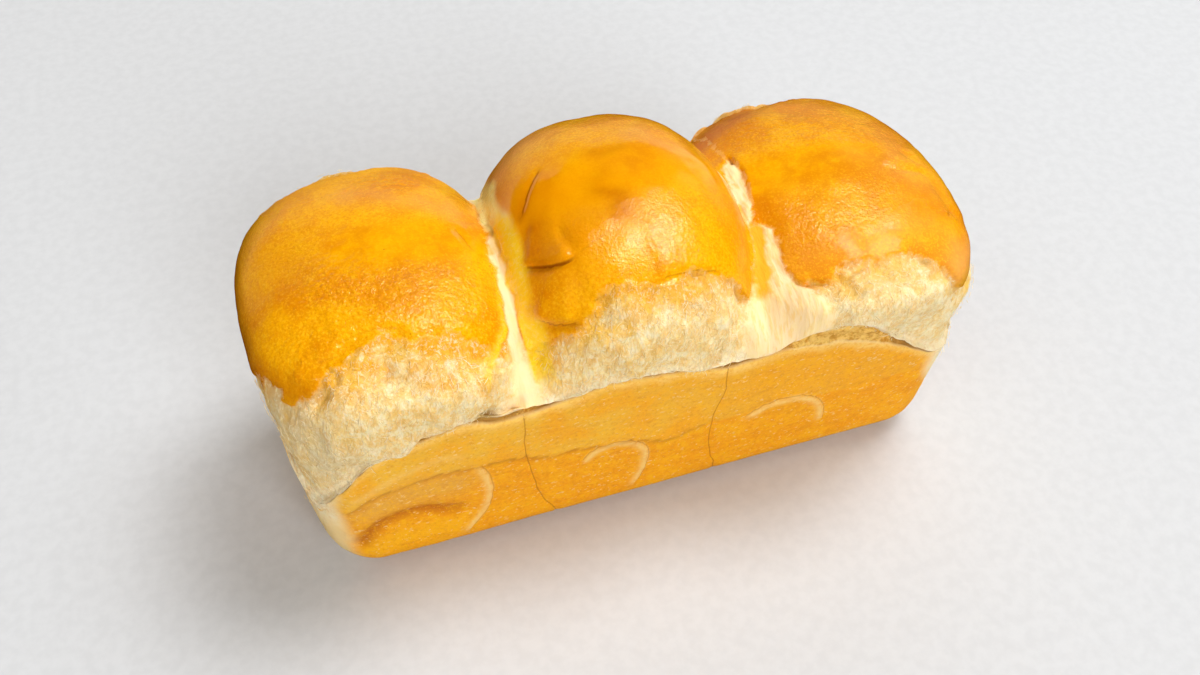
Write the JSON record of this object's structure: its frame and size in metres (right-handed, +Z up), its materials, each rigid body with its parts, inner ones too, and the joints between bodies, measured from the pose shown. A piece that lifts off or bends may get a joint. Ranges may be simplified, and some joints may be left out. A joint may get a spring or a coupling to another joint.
{
  "type": "milk bread loaf",
  "caption": "Soft tin-baked bread loaf with domed golden humps over pale torn sides and browned straight walls; food to slice and serve.",
  "frame": {"origin": "middle of the loaf's flat base", "axes": "+X along the loaf, towards its lowest hump; +Z up; -Y is the long side with the rolled dough ends"},
  "size_m": [0.206, 0.0936, 0.107],
  "materials": {
    "loaf": null
  },
  "bodies": {
    "root": {"loaf": "loaf"}
  },
  "joints": []
}
